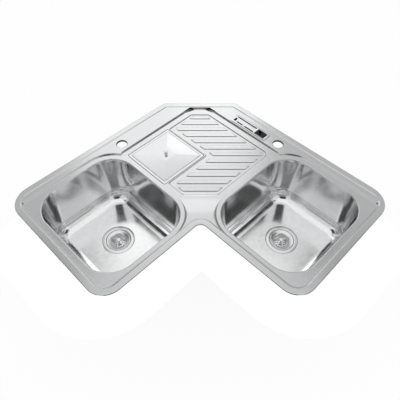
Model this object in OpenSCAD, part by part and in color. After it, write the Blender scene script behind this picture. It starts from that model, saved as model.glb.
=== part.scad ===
// Corner kitchen sink: two bowls in the arms, a ribbed drainer, a waste bin and a knife rack in the middle.
// Millimetres. Z = 0 is the worktop, +Y points at the room corner, +X runs along the longest side.
// The origin lies under the rim seal, in the middle of the cut corner.

/* [Plan] */
// Length of each arm along its wall
arm_length = 830; // [800:5:900]
// Depth of each arm from the wall to its front edge
arm_depth = 470; // [460:5:500]
// Distance from the room corner to the cut corner along each wall
corner_cut = 185; // [160:5:200]
// Rounding of the outline where an arm ends at the wall
back_corner_r = 70; // [40:1:80]
// Rounding of the outline where an arm ends at the front
front_corner_r = 60; // [40:1:70]
// Rounding of the inner corner between the arms
notch_r = 22; // [10:1:40]
// Rounding at the two ends of the cut corner
cut_corner_r = 25; // [10:1:40]

/* [Pressed sheet] */
// Thickness of the steel sheet
sheet_t = 1; // [0.7:0.1:1.2]
// Height of the rim above the worktop
rim_h = 4; // [3.5:0.5:6]
// Width of the flat rim
rim_w = 19; // [17:1:21]
// Drop from the rim to the ledges and the bridge
ledge_drop = 1.5; // [1:0.5:2]
// Drop from the rim to the sunk deck
deck_drop = 7; // [6:0.5:9]
// Width of the narrow step between rim and deck
step_w = 3.5; // [3:0.5:5]
// Distance from the wall to the sunk deck along the ledges
ledge_edge = 86; // [82:1:90]
// Distance from the wall to the sunk deck behind the bowls
strip_edge = 41; // [38:1:44]
// Distance from the ledge's end to the bowl
ledge_to_bowl = 14; // [10:1:18]

/* [Bowls] */
// Distance from the room corner to each bowl along its wall
bowl_near = 466; // [460:1:480]
// Deck between the bowl and the end of the arm
bowl_end_margin = 44; // [40:1:60]
// Deck between the bowl and the wall
bowl_back_margin = 61; // [60:1:70]
// Deck between the bowl and the front edge
bowl_front_margin = 39; // [39:1:50]
// Corner rounding of the bowl's mouth
bowl_corner_r = 88; // [70:1:100]
// Depth of the bowl below the rim
bowl_depth = 190; // [150:5:210]
// Inward lean of the walls over their height
bowl_lean = 12; // [6:1:16]
// Rounding between wall and floor
bowl_fillet = 40; // [25:1:50]
// Corner rounding of the wall where the floor rounding starts
bowl_low_corner_r = 62; // [50:1:70]
// Corner rounding of the flat floor
floor_corner_r = 30; // [20:1:40]
// Width of the welded flange under the deck
bowl_flange_w = 8; // [6:0.5:8]

/* [Drains] */
// Shift of the drain from the bowl's middle towards the room corner
drain_shift_x = 5; // [0:1:10]
// Shift of the drain from the bowl's middle towards the wall
drain_shift_y = 12; // [0:1:20]
// Diameter of the strainer flange
flange_d = 106; // [104:1:110]
// Diameter of the hole in the bowl's floor
drain_hole_d = 90; // [88:1:92]
// Inner diameter of the strainer cup
cup_d = 81; // [78:1:82]
// Depth of the strainer cup below the bowl's floor
cup_depth = 42; // [38:1:50]
// Outer diameter of the tailpiece
tailpiece_d = 40; // [38:1:40]
// Length of the tailpiece's narrow end, which a waste trap takes
tailpiece_l = 40; // [30:1:100]
// Diameter of the inner bowl of the basket
basket_d = 52; // [46:1:56]
// Diameter of the basket's knob
basket_knob_d = 15; // [12:1:18]

/* [Drainer] */
// Distance from the ledges to the ribbed tray
tray_gap = 24; // [22:1:28]
// Deck between the tray and the bowls
tray_band = 34; // [32:1:40]
// Cut at the tray's back corner
tray_back_cut = 44; // [35:1:55]
// Cut at the tray's front corner
tray_front_cut = 83; // [70:1:95]
// Drop from the deck to the tray
tray_drop = 2.5; // [2:0.5:4]
// Number of ribs
rib_count = 12; // [8:1:12]
// Width of a rib
rib_w = 16; // [12:0.5:18]
// Height of a rib
rib_h = 2; // [1:0.5:2.5]
// Distance from the rib ends to the tray's edge
rib_end_gap = 10; // [6:1:14]

/* [Waste bin] */
// Side of the square lid
lid_w = 178; // [170:1:180]
// Gap round the lid
lid_gap = 1.5; // [1:0.5:2.5]
// Deck between the lid's seat and the bowl
seat_band = 19.5; // [17.5:0.5:21.5]
// Deck between the lid's seat and the ledge
seat_gap = 20; // [18:1:24]
// Drop from the deck to the lid's seat
seat_drop = 4; // [3.5:0.5:5]
// Width of the seat's ledge
seat_w = 9; // [8:0.5:10]
// Flat border of the lid
lid_border = 8; // [6:0.5:12]
// Side of the flat square in the lid's middle
lid_flat_w = 47; // [35:1:60]
// Rise of the lid's middle
lid_rise = 7; // [5:0.5:10]
// Height of the lid's knob
knob_h = 13; // [11:1:20]
// Diameter of the lid's knob
knob_d = 11; // [10:0.5:16]
// Depth of the waste bin
bin_depth = 175; // [140:5:190]
// Wall of the waste bin
bin_wall = 2; // [1.5:0.5:3]

/* [Knife rack] */
// Ledge between the rack's plate and the tap's backing plate
rack_to_tap = 21; // [16:1:26]
// Distance from the wall to the rack's middle
rack_y = 59.5; // [58:0.5:60]
// Length of the rack's plate
rack_l = 152; // [146:1:156]
// Width of the rack's plate
rack_w = 39; // [37:1:41]
// Width of a knife slot
slot_w = 4.6; // [4.6:0.1:5.5]
// Depth of the knife box below the plate
rack_depth = 170; // [140:5:190]

/* [Tap holes] */
// Diameter of the tap holes
tap_d = 35; // [32:1:35]
// Distance from the wall to a tap hole
tap_y = 55; // [52:1:58]
// Distance from the ledge's end to a tap hole
tap_from_end = 23; // [22:1:30]
// Side of the backing plate under a tap hole
backing_w = 44; // [42:1:46]
// Thickness of the backing plate
backing_t = 6; // [4:0.5:8]

/* [Fixing] */
// Thickness of the worktop that the claws hold
worktop_t = 30; // [28:1:40]
// Distance from the outline to the edge of the worktop's cut-out
cutout_inset = 15; // [15:0.5:16]
// Distance from the outline to the rim seal
seal_inset = 4; // [3:0.5:5]
// Width of the rim seal
seal_w = 10; // [8:0.5:10]

/* [Hidden] */
$fn = 64;

// Colours of the finishes
satin_steel = "silver";
bright_steel = "gainsboro";
black_plastic = [0.08, 0.08, 0.08];
grey_plastic = [0.45, 0.46, 0.48];
white_plastic = [0.9, 0.9, 0.88];
dark_rubber = [0.12, 0.12, 0.13];

// Overrun of cuts, gap of a piece that rests on another, and gap of a loose fit
over = 1;
rest_gap = 0.2;
loose_gap = 0.5;
thread_gap = 0.1;

// Arcs of outlines: longest chord and least number of steps
arc_chord = 8;
arc_steps_min = 5;
bowl_arc_steps = 10;
fillet_steps = 6;

// Levels
ledge_top = rim_h - ledge_drop;
deck_top = rim_h - deck_drop;
tray_top = deck_top - tray_drop;
seat_top = deck_top - seat_drop;
floor_top = rim_h - bowl_depth;
weld_z = deck_top - sheet_t;
skirt_gap = 0.5;

// From the room corner to the origin, along the diagonal
corner_distance = corner_cut / sqrt(2) + seal_inset + seal_w / 2;

// Sunk deck
deck_inset = rim_w + step_w;
ledge_end = bowl_near - ledge_to_bowl;
ledge_tip_r = 3;
deck_back_tip_r = 12;
cut_inner_r = 6;
bowl_arc_x = bowl_near + bowl_corner_r;
back_arc_r = 111;
back_arc_from = 214;
front_arc_r = 107;
front_arc_to = 155;
deck_arc_step = 7;
front_arc_y = arm_depth - deck_inset - front_arc_r;
deck_front_r = front_corner_r - deck_inset;
deck_cut_x = corner_cut + deck_inset * sqrt(2) - ledge_edge;
arc_end = [bowl_arc_x + front_arc_r * cos(front_arc_to), front_arc_y + front_arc_r * sin(front_arc_to)];
bridge_lap = 3;
bridge_start = (arc_end.x + arc_end.y) / sqrt(2) - bridge_lap;
bridge_run = 50;
bridge_half_w = 60;

// Bowl
bowl_l = arm_length - bowl_end_margin - bowl_near;
bowl_w = arm_depth - bowl_front_margin - bowl_back_margin;
wall_end_z = floor_top + bowl_fillet;

// Drain: seat in the floor, gaskets, nut and tail
drain_x = bowl_near + bowl_l / 2 - drain_shift_x;
drain_y = bowl_back_margin + bowl_w / 2 - drain_shift_y;
drain_seat_gap = 3;
flange_t = 1.5;
gasket_t = 1.5;
drain_seat_depth = flange_t + gasket_t;
gasket_w = 6;
cup_wall = 2.5;
washer_t = 3;
washer_w = 11;
friction_t = 1;
lock_nut_t = 10;
lock_nut_w = 9;
lug_w = 12;
lug_out = 3;
lug_count = 6;
outlet_d = 36;
cup_bottom_t = 3;
spigot_d = 47;
spigot_l = 20;
tail_gasket_t = 3;
tail_flange_t = 3;
tail_wall = 1.5;
tail_flange_w = 2;
tail_neck_w = 1;
tail_neck_l = 22;
union_wall = 4;
union_lip_t = 5;
union_grip = 14;

// Basket, post and stopper
basket_t = 1;
basket_side_gap = 1;
basket_lip_drop = 1;
basket_cone_drop = 8;
basket_floor_lift = 10;
basket_floor_hole_d = 4;
basket_ring_d = 34;
basket_ring_holes = 12;
basket_inner_ring_d = 22;
basket_inner_holes = 8;
post_d = 6;
post_top_lift = 2;
post_knob_t = 5;
stopper_d = 46;
stopper_t = 4;
stopper_plug_d = 34;
stopper_plug_t = 3;

// Sound pad between the drain and the bowl's front
pad_t = 3;
pad_l = 160;
pad_w = 50;
pad_r = 8;
pad_drain_gap = 5;

// Lid, knob and screw
seat_outer_w = lid_w + 2 * lid_gap;
seat_corner_r = 6;
seat_x = bowl_near - seat_band - seat_outer_w / 2;
seat_y = ledge_edge + seat_gap + seat_outer_w / 2;
bin_flange_t = 2;
bin_flange_gap = 2;
bin_side_gap = 2;
bin_corner_r = 16;
lid_t = 1.5;
lid_bottom = seat_top + bin_flange_t + 2 * rest_gap;
lid_flat_z = lid_bottom + lid_t + lid_rise;
knob_neck_d = 7;
knob_foot_h = 1.5;
knob_neck_h = 4;
lid_screw_d = 4;
lid_screw_grip = 7;
lid_screw_head_d = 8;
lid_screw_head_t = 2;

// Tray
tray_lo = ledge_edge + tray_gap;
tray_hi = bowl_near - tray_band;
tray_corner_r = 20;
tray_small_r = 6;
tray_seat_margin = 4;
tray_back = (2 * tray_lo + tray_back_cut) / sqrt(2);
tray_front = (2 * tray_hi - tray_front_cut) / sqrt(2);
rib_pitch = (tray_front - tray_back) / rib_count;
rib_first_share = 0.44;

// Gap between a tap's shank and the sheet round it
tap_sheet_gap = 1;

// Rack
rack_x = ledge_end - tap_from_end - backing_w / 2 - rack_to_tap - rack_l / 2;
rack_t = 1.2;
rack_corner_r = 6;
rack_rest_w = 2.25;
rack_box_gap = 1.5;
rack_box_wall = 1.75;
rack_box_r = 4;
long_slot_l = 89;
long_slot_x = -23.5;
long_slot_y = -11;
short_slot_l = 26;
short_slot_x = -40;
short_slot_y = 11;
middle_slot_l = 40;
middle_slot_x = 1;
finger_l = 16;
finger_w = 8;
finger_x = -64.5;
finger_y = 5;
comb_l = 40;
comb_w = 27;
comb_x = 47;
comb_y = 0;
comb_gap = 0.3;
comb_depth = 26;
comb_slit = 3;
comb_slits = 6;
comb_edge = 3;

// Fixing clips: distance from the outline inwards, and sizes
clip_axis = 26.5;
clip_block_l = 8;
clip_block_w = 16;
clip_block_t = 6;
clip_screw_d = 5;
clip_head_d = 9;
clip_head_t = 3.5;
clip_bite = 12;
claw_w = 14;
claw_t = 3;
claw_tip_l = 3;
claw_tip_h = 3;
claw_heel = 6;
claw_hole_gap = 1;
clip_front_near = 90;
clip_front_far = 120;
clip_back_near = 60;
clip_back_far = 190;

// Front and end clips hang from the deck, back clips from the ledges
clip_places = [
    [arm_depth + clip_front_near, arm_depth, 90, deck_top],
    [arm_length - clip_front_far, arm_depth, 90, deck_top],
    [arm_length, arm_depth / 2, 0, deck_top],
    [corner_cut + clip_back_near, 0, -90, ledge_top],
    [arm_length - clip_back_far, 0, -90, ledge_top]
];

// Points of an arc of radius r that rounds corner p between its neighbours a and b
function unit(v) = v / norm(v);
function corner_arc(a, p, b, r, steps) =
    let (
        to_a = unit(a - p),
        to_b = unit(b - p),
        half = acos(to_a * to_b) / 2,
        centre = p + unit(to_a + to_b) * r / sin(half),
        first = p + to_a * r / tan(half) - centre,
        last = p + to_b * r / tan(half) - centre,
        start = atan2(first.y, first.x),
        turn = (atan2(last.y, last.x) - start + 540) % 360 - 180
    )
    [for (i = [0:steps]) centre + r * [cos(start + turn * i / steps), sin(start + turn * i / steps)]];

// Closed outline through corners [x, y, rounding]; a rounding of 0 keeps the point
function flat(p) = [p.x, p.y];
function steps_for(r) = max(arc_steps_min, ceil(r / arc_chord));
function rounded(p) =
    let (n = len(p))
    [for (i = [0:n - 1])
        each p[i].z == 0
            ? [flat(p[i])]
            : let (before = flat(p[(i + n - 1) % n]), after = flat(p[(i + 1) % n]))
                corner_arc(before, flat(p[i]), after, p[i].z, steps_for(p[i].z))];

// Half an outline, the corners on the diagonal, and the half's mirror image across the diagonal
function swapped(p) = [for (i = [len(p) - 1:-1:0]) [p[i].y, p[i].x, p[i].z]];
function both_arms(p, middle) = concat(p, middle, swapped(p));
function arc_points(centre, r, from, to) =
    let (steps = ceil(abs(to - from) / deck_arc_step))
    [
        for (i = [0:steps]) let (a = from + (to - from) * i / steps)
            [centre.x + r * cos(a), centre.y + r * sin(a), 0]
    ];

// Ring of points of a rounded rectangle at height z
function box_corners(l, w) = [[-l / 2, -w / 2], [l / 2, -w / 2], [l / 2, w / 2], [-l / 2, w / 2]];
function box_ring(l, w, r, z) =
    let (p = box_corners(l, w))
    [
        for (i = [0:3], q = corner_arc(p[(i + 3) % 4], p[i], p[(i + 1) % 4], r, bowl_arc_steps))
            [q.x, q.y, z]
    ];

// The corner frame: X along the left wall, Y along the right wall, from the room corner
module at_corner() {
    translate([0, corner_distance, 0]) rotate([0, 0, -135]) children();
}

module right_side() {
    mirror([1, 0, 0]) children();
}

module both_sides() {
    children();
    right_side() children();
}

module slab(z, t) {
    translate([0, 0, z]) linear_extrude(t) children();
}

// Solid between two heights
module between(low, high) {
    slab(low, high - low) children();
}

module box_area(l, w, r) {
    polygon(rounded([for (p = box_corners(l, w)) [p.x, p.y, r]]));
}

// Wall of sheet thickness round an area
module wall_ring() {
    difference() {
        offset(delta = sheet_t) children();
        children();
    }
}

// Solid through rings of points, lowest ring first, each with as many points as the others
module loft(rings) {
    n = len(rings[0]);
    m = len(rings);
    sides = [
        for (k = [0:m - 2], i = [0:n - 1])
            let (j = (i + 1) % n, low = k * n, high = (k + 1) * n)
            each [[low + i, high + i, high + j], [low + i, high + j, low + j]]
    ];
    caps = [[for (i = [0:n - 1]) i], [for (i = [n - 1:-1:0]) (m - 1) * n + i]];
    polyhedron([for (ring = rings) each ring], concat(sides, caps));
}

// Outlines in the corner frame
module outline_area() {
    polygon(rounded(both_arms(
        [
            [corner_cut, 0, cut_corner_r],
            [arm_length, 0, back_corner_r],
            [arm_length, arm_depth, front_corner_r]
        ],
        [[arm_depth, arm_depth, notch_r]]
    )));
}

module inner_area() {
    offset(delta = -rim_w) outline_area();
}

module deck_area() {
    polygon(rounded(both_arms(
        concat(
            [[deck_cut_x, ledge_edge, cut_inner_r], [ledge_end, ledge_edge, ledge_tip_r]],
            arc_points([bowl_arc_x, strip_edge + back_arc_r], back_arc_r, back_arc_from, 270),
            [
                [arm_length - deck_inset, strip_edge, deck_back_tip_r],
                [arm_length - deck_inset, arm_depth - deck_inset, deck_front_r]
            ],
            arc_points([bowl_arc_x, front_arc_y], front_arc_r, 90, front_arc_to)
        ),
        []
    )));
}

// Strip across the diagonal, from one distance to another from the room corner
module diagonal_strip(from, to, half_w) {
    rotate(45) translate([from, -half_w]) square([to - from, 2 * half_w]);
}

module bridge_area() {
    difference() {
        diagonal_strip(bridge_start, bridge_start + bridge_run, bridge_half_w);
        deck_area();
    }
}

module bowl_mouth_area() {
    translate([bowl_near + bowl_l / 2, bowl_back_margin + bowl_w / 2])
        box_area(bowl_l, bowl_w, bowl_corner_r);
}

module both_mouths() {
    bowl_mouth_area();
    mirror([1, -1]) bowl_mouth_area();
}

module seat_area(inset) {
    side = seat_outer_w - 2 * inset;
    translate([seat_x, seat_y]) box_area(side, side, seat_corner_r);
}

module tray_area() {
    difference() {
        polygon(rounded(both_arms(
            [
                [tray_lo + tray_back_cut, tray_lo, tray_small_r],
                [tray_hi, tray_lo, tray_corner_r],
                [tray_hi, tray_hi - tray_front_cut, tray_small_r]
            ],
            []
        )));
        seat_area(-tray_seat_margin);
    }
}

// Where ribs may run: the tray's square without a margin, and clear of the seat
module rib_area() {
    side = tray_hi - tray_lo - 2 * rib_end_gap;
    difference() {
        translate([tray_lo + rib_end_gap, tray_lo + rib_end_gap]) square(side);
        seat_area(-tray_seat_margin - rib_end_gap);
    }
}

// Layer that follows the bridge's slope, from the deck up to the ledges
module bridge_layer(lift, thickness) {
    line = [
        [bridge_start - sheet_t, deck_top],
        [bridge_start, deck_top],
        [bridge_start + bridge_run, ledge_top],
        [bridge_start + bridge_run + sheet_t, ledge_top]
    ];
    low = [for (p = line) p + [0, lift]];
    high = [for (i = [len(line) - 1:-1:0]) line[i] + [0, lift + thickness]];
    at_corner() rotate([90, 0, 45]) translate([0, 0, -bridge_half_w]) linear_extrude(2 * bridge_half_w)
        polygon(concat(low, high));
}

module bridge_plate() {
    intersection() {
        bridge_layer(-sheet_t, sheet_t);
        at_corner() between(deck_top - deck_drop, rim_h) offset(delta = sheet_t) bridge_area();
    }
}

module ribs() {
    at_corner() between(tray_top - sheet_t, tray_top + rib_h) intersection() {
        rib_area();
        for (i = [0:rib_count - 1]) {
            middle = tray_back + (i + rib_first_share) * rib_pitch;
            diagonal_strip(middle - rib_w / 2, middle + rib_w / 2, arm_depth);
        }
    }
}

module sheet_levels() {
    at_corner() {
        between(rim_h - sheet_t, rim_h) difference() {
            outline_area();
            inner_area();
        }
        between(skirt_gap, rim_h) wall_ring() offset(delta = -sheet_t) outline_area();
        between(ledge_top - sheet_t, rim_h) wall_ring() inner_area();
        between(ledge_top - sheet_t, ledge_top) difference() {
            inner_area();
            deck_area();
            bridge_area();
        }
        between(weld_z, ledge_top) wall_ring() deck_area();
        between(weld_z, deck_top) difference() {
            deck_area();
            tray_area();
            seat_area(0);
            both_mouths();
        }
        between(tray_top - sheet_t, deck_top) wall_ring() tray_area();
        between(tray_top - sheet_t, tray_top) tray_area();
        between(seat_top - sheet_t, deck_top) wall_ring() seat_area(0);
        between(seat_top - sheet_t, seat_top) difference() {
            seat_area(0);
            seat_area(seat_w);
        }
    }
}

module sink_top() {
    color(satin_steel) {
        difference() {
            sheet_levels();
            intersection() {
                bridge_layer(0, deck_drop);
                at_corner() between(weld_z, ledge_top + over) bridge_area();
            }
            both_sides() at_tap() cylinder(h = 2 * over + rim_h, d = tap_d + 2 * tap_sheet_gap);
            at_rack() between(deck_top, rim_h + over)
                box_area(rack_l - 2 * rack_rest_w, rack_w - 2 * rack_rest_w, rack_box_r);
        }
        bridge_plate();
        ribs();
    }
}

// Bowl: inset from the mouth, corner rounding and height of each ring, grown outwards by g
function fillet_ring(a, g) = [
    bowl_lean + bowl_fillet - (bowl_fillet + g) * cos(a),
    bowl_low_corner_r + (floor_corner_r - bowl_low_corner_r) * (1 - cos(a)) + g,
    wall_end_z - (bowl_fillet + g) * sin(a)
];
function bowl_profile(g, top) = concat(
    [for (i = [fillet_steps:-1:0]) fillet_ring(90 * i / fillet_steps, g)],
    [[-g, bowl_corner_r + g, weld_z], if (top > weld_z) [-g, bowl_corner_r + g, top]]
);
function bowl_rings(g, top) =
    [for (p = bowl_profile(g, top)) box_ring(bowl_l - 2 * p[0], bowl_w - 2 * p[0], p[1], p[2])];

module bowl_shape() {
    drain = [drain_x - bowl_near - bowl_l / 2, drain_y - bowl_back_margin - bowl_w / 2, 0];
    pocket_z = floor_top - drain_seat_depth;
    pocket_d = flange_d + 2 * drain_seat_gap;
    at_corner() translate([bowl_near + bowl_l / 2, bowl_back_margin + bowl_w / 2, 0]) difference() {
        union() {
            loft(bowl_rings(sheet_t, weld_z));
            slab(weld_z - sheet_t, sheet_t) box_area(
                bowl_l + 2 * bowl_flange_w,
                bowl_w + 2 * bowl_flange_w,
                bowl_corner_r + bowl_flange_w
            );
            translate(drain + [0, 0, pocket_z - sheet_t])
                cylinder(h = drain_seat_depth, d = pocket_d + 2 * sheet_t);
        }
        loft(bowl_rings(0, weld_z + over));
        translate(drain + [0, 0, pocket_z]) cylinder(h = drain_seat_depth + over, d = pocket_d);
        translate(drain + [0, 0, pocket_z - sheet_t - over])
            cylinder(h = sheet_t + 2 * over, d = drain_hole_d);
    }
}

module left_bowl() {
    color(bright_steel) bowl_shape();
}

module right_bowl() {
    color(bright_steel) right_side() bowl_shape();
}

module rim_seal() {
    color(dark_rubber) at_corner() between(0, rim_h - sheet_t) difference() {
        offset(delta = -seal_inset) outline_area();
        offset(delta = -seal_inset - seal_w) outline_area();
    }
}

// Tap hole: the axis through the ledge, upwards from just under the sheet
module at_tap() {
    at_corner() translate([ledge_end - tap_from_end, tap_y, ledge_top - sheet_t - over]) children();
}

module tap_backing_plates() {
    color(grey_plastic) both_sides() at_tap() translate([0, 0, over - backing_t]) difference() {
        linear_extrude(backing_t) square(backing_w, center = true);
        translate([0, 0, -over]) cylinder(h = backing_t + 2 * over, d = tap_d);
    }
}

// Knife rack: the middle of its plate in the right ledge
module at_rack() {
    right_side() at_corner() translate([rack_x, rack_y, 0]) children();
}

// Fixing clips, each with its outward direction along X and the worktop's cut-out at the outline
module at_clips(level) {
    both_sides() at_corner() for (p = clip_places)
        translate([p[0], p[1], level ? p[3] - sheet_t : -worktop_t]) rotate([0, 0, p[2]])
            translate([-clip_axis, 0, 0]) children();
}

module clip_nut_blocks() {
    color(bright_steel) at_clips(true) difference() {
        translate([-clip_block_l / 2, -clip_block_w / 2, -clip_block_t])
            cube([clip_block_l, clip_block_w, clip_block_t]);
        translate([0, 0, -clip_block_t - over])
            cylinder(h = clip_block_t, d = clip_screw_d + 2 * thread_gap);
    }
}

module clip_claws() {
    length = clip_axis + claw_heel - cutout_inset + clip_bite;
    color(bright_steel) at_clips(false) difference() {
        translate([-claw_heel, -claw_w / 2, -claw_tip_h - claw_t]) {
            cube([length, claw_w, claw_t]);
            translate([length - claw_tip_l, 0, 0]) cube([claw_tip_l, claw_w, claw_t + claw_tip_h]);
        }
        translate([0, 0, -claw_tip_h - claw_t - over])
            cylinder(h = claw_t + 2 * over, d = clip_screw_d + 2 * claw_hole_gap);
    }
}

module clip_screws() {
    color(bright_steel) at_clips(false) translate([0, 0, -claw_tip_h - claw_t]) {
        translate([0, 0, -clip_head_t]) cylinder(h = clip_head_t, d = clip_head_d);
        cylinder(h = worktop_t + claw_tip_h + claw_t + deck_top - sheet_t - over, d = clip_screw_d);
    }
}

module pad_shape() {
    near = drain_y + flange_d / 2 + drain_seat_gap + pad_drain_gap;
    at_corner() translate([bowl_near + bowl_l / 2, near + pad_w / 2, floor_top - sheet_t])
        slab(-pad_t, pad_t) box_area(pad_l, pad_w, pad_r);
}

module left_sound_pad() {
    color(dark_rubber) pad_shape();
}

module right_sound_pad() {
    color(dark_rubber) right_side() pad_shape();
}

// Drain parts, round the drain's axis
module at_drain() {
    at_corner() translate([drain_x, drain_y, 0]) children();
}

// Ring between two diameters, standing on height z
module ring(z, h, outer_d, inner_d) {
    translate([0, 0, z]) difference() {
        cylinder(h = h, d = outer_d);
        translate([0, 0, -over]) cylinder(h = h + 2 * over, d = inner_d);
    }
}

pocket_bottom = floor_top - drain_seat_depth - sheet_t;
cup_outer_d = cup_d + 2 * cup_wall;
cup_floor = floor_top - cup_depth + cup_bottom_t;
cup_bottom = floor_top - cup_depth;
tail_top = cup_bottom - spigot_l - tail_gasket_t;
tail_neck_d = tailpiece_d + 2 * tail_neck_w;
tail_inner_d = tailpiece_d - 2 * tail_wall;

module strainer_cup_shape() {
    at_drain() {
        ring(floor_top - flange_t, flange_t, flange_d, cup_d);
        ring(cup_bottom, cup_depth, cup_outer_d, cup_d);
        ring(cup_bottom, cup_bottom_t, cup_outer_d, outlet_d);
        ring(cup_bottom - spigot_l, spigot_l + cup_bottom_t, spigot_d, outlet_d);
    }
}

module flange_gasket_shape() {
    at_drain() ring(pocket_bottom + sheet_t, gasket_t, flange_d, flange_d - 2 * gasket_w);
}

module washer_shape() {
    at_drain() ring(
        pocket_bottom - washer_t,
        washer_t,
        cup_outer_d + 2 * washer_w,
        cup_outer_d + 2 * loose_gap
    );
}

module friction_ring_shape() {
    at_drain() ring(
        pocket_bottom - washer_t - friction_t,
        friction_t,
        cup_outer_d + 2 * washer_w,
        cup_outer_d + 2 * loose_gap
    );
}

module lock_nut_shape() {
    top = pocket_bottom - washer_t - friction_t;
    at_drain() {
        ring(top - lock_nut_t, lock_nut_t, cup_outer_d + 2 * lock_nut_w, cup_outer_d + 2 * thread_gap);
        for (i = [0:lug_count - 1]) rotate([0, 0, 360 * i / lug_count])
            translate([cup_outer_d / 2 + lock_nut_w - sheet_t, -lug_w / 2, top - lock_nut_t])
                cube([lug_out + sheet_t, lug_w, lock_nut_t]);
    }
}

module tail_gasket_shape() {
    at_drain() ring(tail_top, tail_gasket_t, tail_neck_d + 2 * tail_flange_w, outlet_d);
}

module tailpiece_shape() {
    neck_bottom = tail_top - tail_flange_t - tail_neck_l;
    at_drain() {
        ring(tail_top - tail_flange_t, tail_flange_t, tail_neck_d + 2 * tail_flange_w, tail_inner_d);
        ring(neck_bottom, tail_flange_t + tail_neck_l, tail_neck_d, tail_inner_d);
        ring(neck_bottom - tailpiece_l, tailpiece_l + tail_neck_l, tailpiece_d, tail_inner_d);
    }
}

module union_nut_shape() {
    nut_d = spigot_d + 2 * (thread_gap + union_wall);
    top = cup_bottom - spigot_l + union_grip;
    bottom = tail_top - tail_flange_t - union_lip_t;
    at_drain() {
        ring(bottom, top - bottom, nut_d, spigot_d + 2 * thread_gap);
        ring(bottom, union_lip_t, nut_d, tail_neck_d + 2 * loose_gap);
    }
}

basket_top = floor_top - basket_lip_drop;
basket_floor = cup_floor + basket_floor_lift;

module hole_ring(count, ring_d, z, h) {
    for (i = [0:count - 1]) rotate([0, 0, 360 * i / count]) translate([ring_d / 2, 0, z])
        cylinder(h = h, d = basket_floor_hole_d);
}

module basket_shape() {
    outer = cup_d / 2 - basket_side_gap;
    inner = basket_d / 2;
    neck = basket_top - basket_cone_drop;
    at_drain() difference() {
        rotate_extrude() polygon([
            [post_d / 2, basket_floor],
            [inner, basket_floor],
            [inner, neck - basket_t],
            [outer, basket_top - basket_t],
            [outer, basket_top],
            [inner - basket_t, neck],
            [inner - basket_t, basket_floor + basket_t],
            [post_d / 2, basket_floor + basket_t]
        ]);
        hole_ring(basket_ring_holes, basket_ring_d, basket_floor - over, basket_t + 2 * over);
        hole_ring(basket_inner_holes, basket_inner_ring_d, basket_floor - over, basket_t + 2 * over);
    }
}

module basket_post_shape() {
    bottom = cup_floor + rest_gap + stopper_t;
    knob_z = floor_top + post_top_lift - post_knob_t;
    at_drain() {
        translate([0, 0, bottom]) cylinder(h = knob_z - bottom, d = post_d);
        translate([0, 0, knob_z]) cylinder(h = post_knob_t, d = basket_knob_d);
    }
}

module stopper_shape() {
    at_drain() translate([0, 0, cup_floor + rest_gap]) {
        cylinder(h = stopper_t, d = stopper_d);
        translate([0, 0, -stopper_plug_t]) cylinder(h = stopper_plug_t, d = stopper_plug_d);
    }
}

module left_strainer_cup() {
    color(bright_steel) strainer_cup_shape();
}

module right_strainer_cup() {
    color(bright_steel) right_side() strainer_cup_shape();
}

module left_flange_gasket() {
    color(dark_rubber) flange_gasket_shape();
}

module right_flange_gasket() {
    color(dark_rubber) right_side() flange_gasket_shape();
}

module left_washer() {
    color(dark_rubber) washer_shape();
}

module right_washer() {
    color(dark_rubber) right_side() washer_shape();
}

module left_friction_ring() {
    color(grey_plastic) friction_ring_shape();
}

module right_friction_ring() {
    color(grey_plastic) right_side() friction_ring_shape();
}

module left_lock_nut() {
    color(white_plastic) lock_nut_shape();
}

module right_lock_nut() {
    color(white_plastic) right_side() lock_nut_shape();
}

module left_tail_gasket() {
    color(dark_rubber) tail_gasket_shape();
}

module right_tail_gasket() {
    color(dark_rubber) right_side() tail_gasket_shape();
}

module left_tailpiece() {
    color(white_plastic) tailpiece_shape();
}

module right_tailpiece() {
    color(white_plastic) right_side() tailpiece_shape();
}

module left_union_nut() {
    color(white_plastic) union_nut_shape();
}

module right_union_nut() {
    color(white_plastic) right_side() union_nut_shape();
}

module left_basket() {
    color(bright_steel) basket_shape();
}

module right_basket() {
    color(bright_steel) right_side() basket_shape();
}

module left_basket_post() {
    color(bright_steel) basket_post_shape();
}

module right_basket_post() {
    color(bright_steel) right_side() basket_post_shape();
}

module left_stopper() {
    color(dark_rubber) stopper_shape();
}

module right_stopper() {
    color(dark_rubber) right_side() stopper_shape();
}

// Waste bin: a box with a flange that hangs in the seat
module at_seat() {
    at_corner() translate([seat_x, seat_y, 0]) children();
}

module waste_bin() {
    side = seat_outer_w - 2 * (seat_w + bin_side_gap);
    flange = seat_outer_w - 2 * bin_flange_gap;
    bottom = seat_top - bin_depth;
    top = seat_top + rest_gap + bin_flange_t;
    color(grey_plastic) at_seat() difference() {
        union() {
            between(bottom, top) box_area(side, side, bin_corner_r);
            between(seat_top + rest_gap, top) box_area(flange, flange, seat_corner_r);
        }
        between(bottom + bin_wall, top + over)
            box_area(side - 2 * bin_wall, side - 2 * bin_wall, bin_corner_r - bin_wall);
    }
}

module lid_rise_shape(z) {
    foot = lid_w - 2 * lid_border;
    loft([
        for (p = [[foot, z], [lid_flat_w, z + lid_rise]])
            [for (q = box_corners(p[0], p[0])) [q.x, q.y, p[1]]]
    ]);
}

module bin_lid() {
    color(satin_steel) at_seat() difference() {
        union() {
            slab(lid_bottom, lid_t) box_area(lid_w, lid_w, seat_corner_r);
            lid_rise_shape(lid_bottom + lid_t);
        }
        lid_rise_shape(lid_bottom);
        translate([0, 0, lid_bottom]) cylinder(h = 2 * lid_rise, d = lid_screw_d + 2 * loose_gap);
    }
}

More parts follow.
